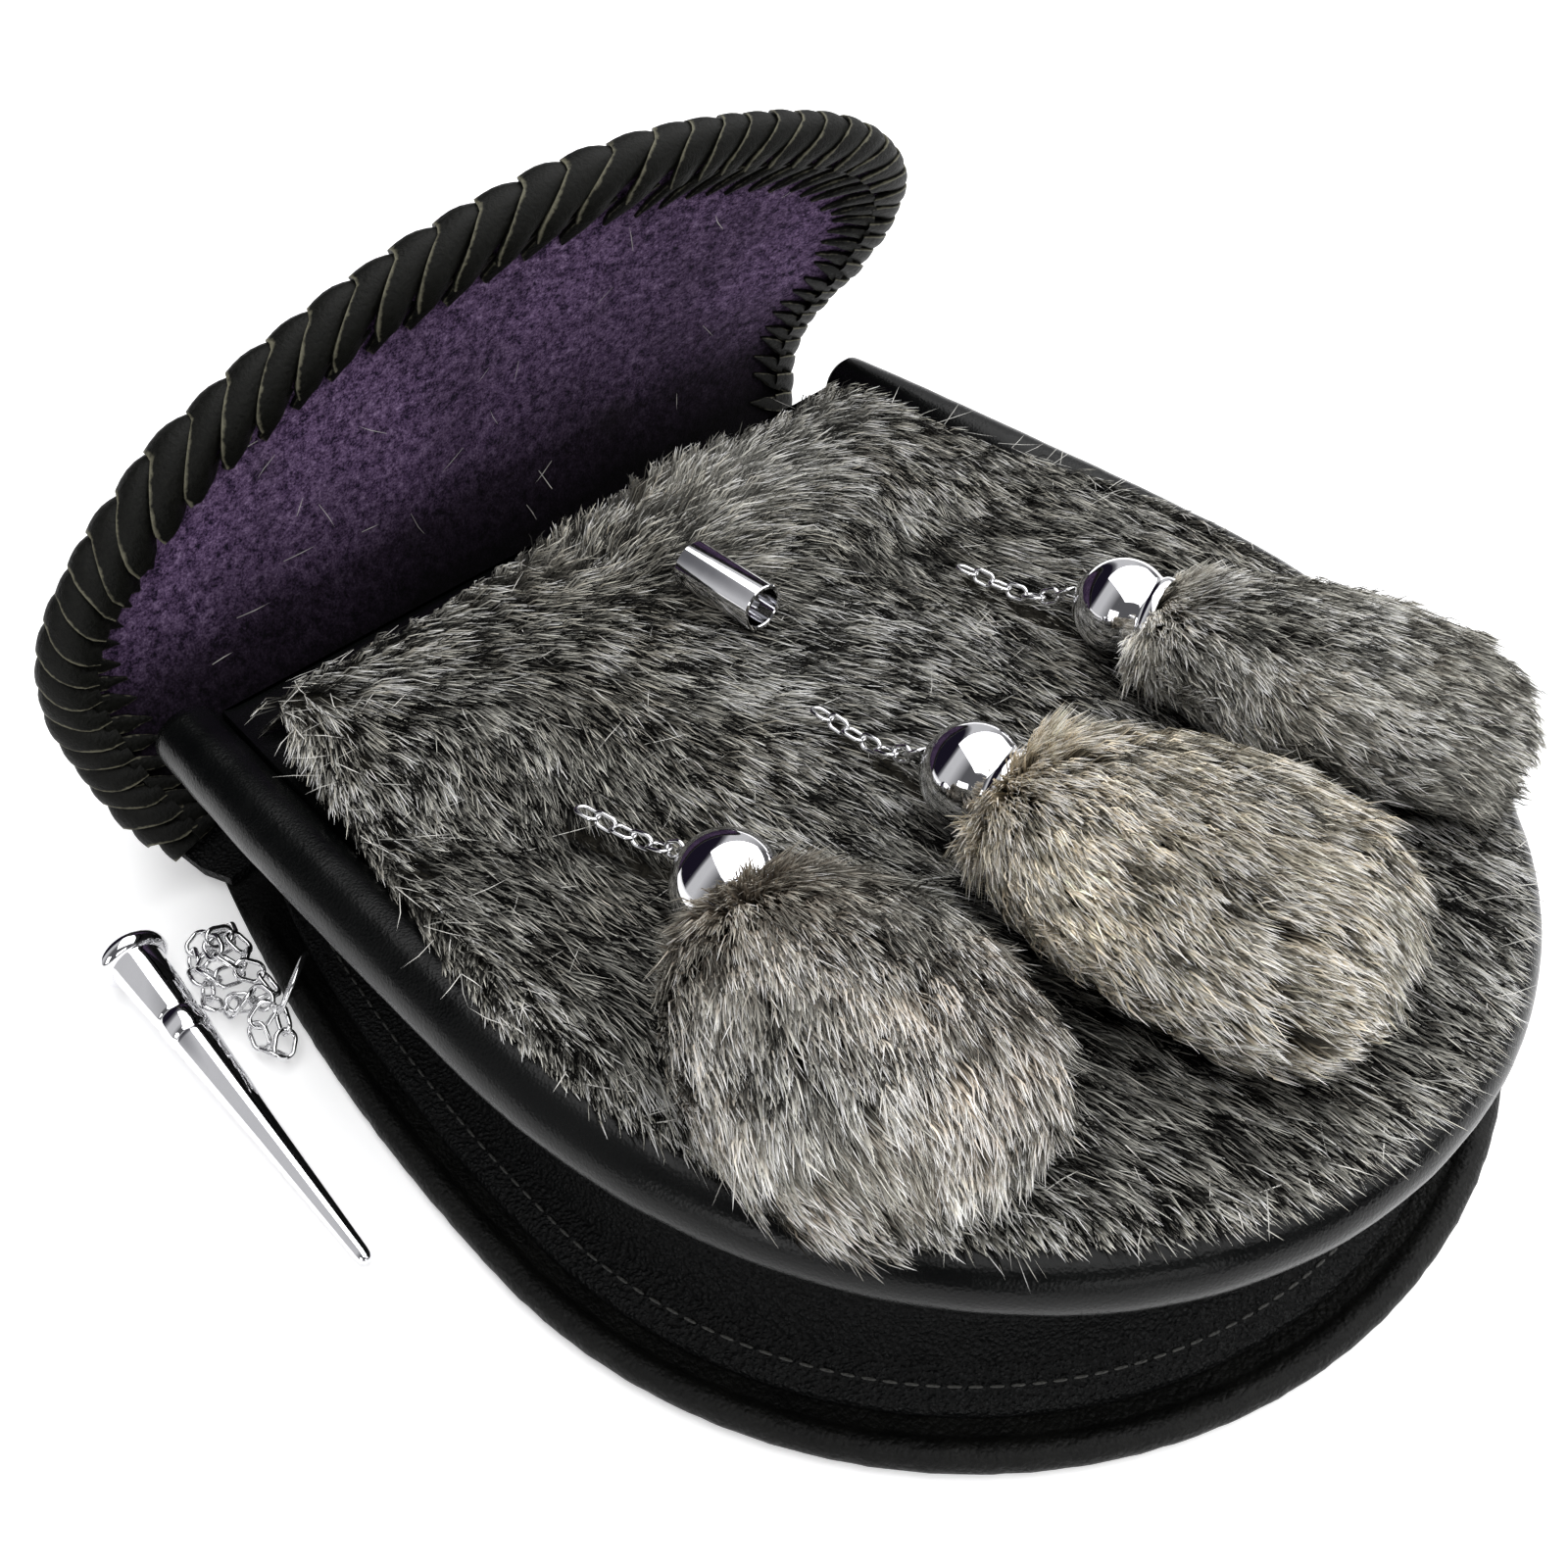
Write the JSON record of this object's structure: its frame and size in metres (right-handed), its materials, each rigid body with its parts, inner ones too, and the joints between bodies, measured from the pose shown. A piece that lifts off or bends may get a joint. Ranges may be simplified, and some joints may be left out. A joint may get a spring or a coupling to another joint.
{
  "type": "sporran pouch",
  "caption": "Fur-fronted leather sporran pouch lying on its back with the laced flap open, tassels on chains, a closure tube and its pin on a chain.",
  "frame": {"origin": "middle of the back panel's flat underside", "axes": "+Z out of the fur front, +Y towards the mouth and the flap, +X to the right as seen from the front"},
  "size_m": [0.2216, 0.2428, 0.1088],
  "materials": {
    "black_leather": "smooth, semi-gloss, fine grain",
    "lacing_leather": "waxed lace with raw edges",
    "purple_suede": "napped suede",
    "grey_fur": "rabbit fur, grey with pale tips",
    "brown_fur": "rabbit fur, brown grey",
    "tan_fur": "rabbit fur, tan",
    "dark_fur": "rabbit fur, dark grey brown",
    "chrome": "polished",
    "steel_chain": "polished wire"
  },
  "bodies": {
    "root": {"back_panel": "black_leather", "gusset": "black_leather", "front_rim": "black_leather", "front_panel": "black_leather", "fur_front": "grey_fur", "flap": "black_leather", "flap_lining": "purple_suede", "flap_lacing": "lacing_leather", "closure_tube": "chrome", "closure_pin": "chrome", "pin_chain": "steel_chain", "tassel_chain_left": "steel_chain", "tassel_chain_centre": "steel_chain", "tassel_chain_right": "steel_chain", "tassel_cap_left": "chrome", "tassel_cap_centre": "chrome", "tassel_cap_right": "chrome", "tassel_left": "brown_fur", "tassel_centre": "tan_fur", "tassel_right": "dark_fur"}
  },
  "joints": []
}
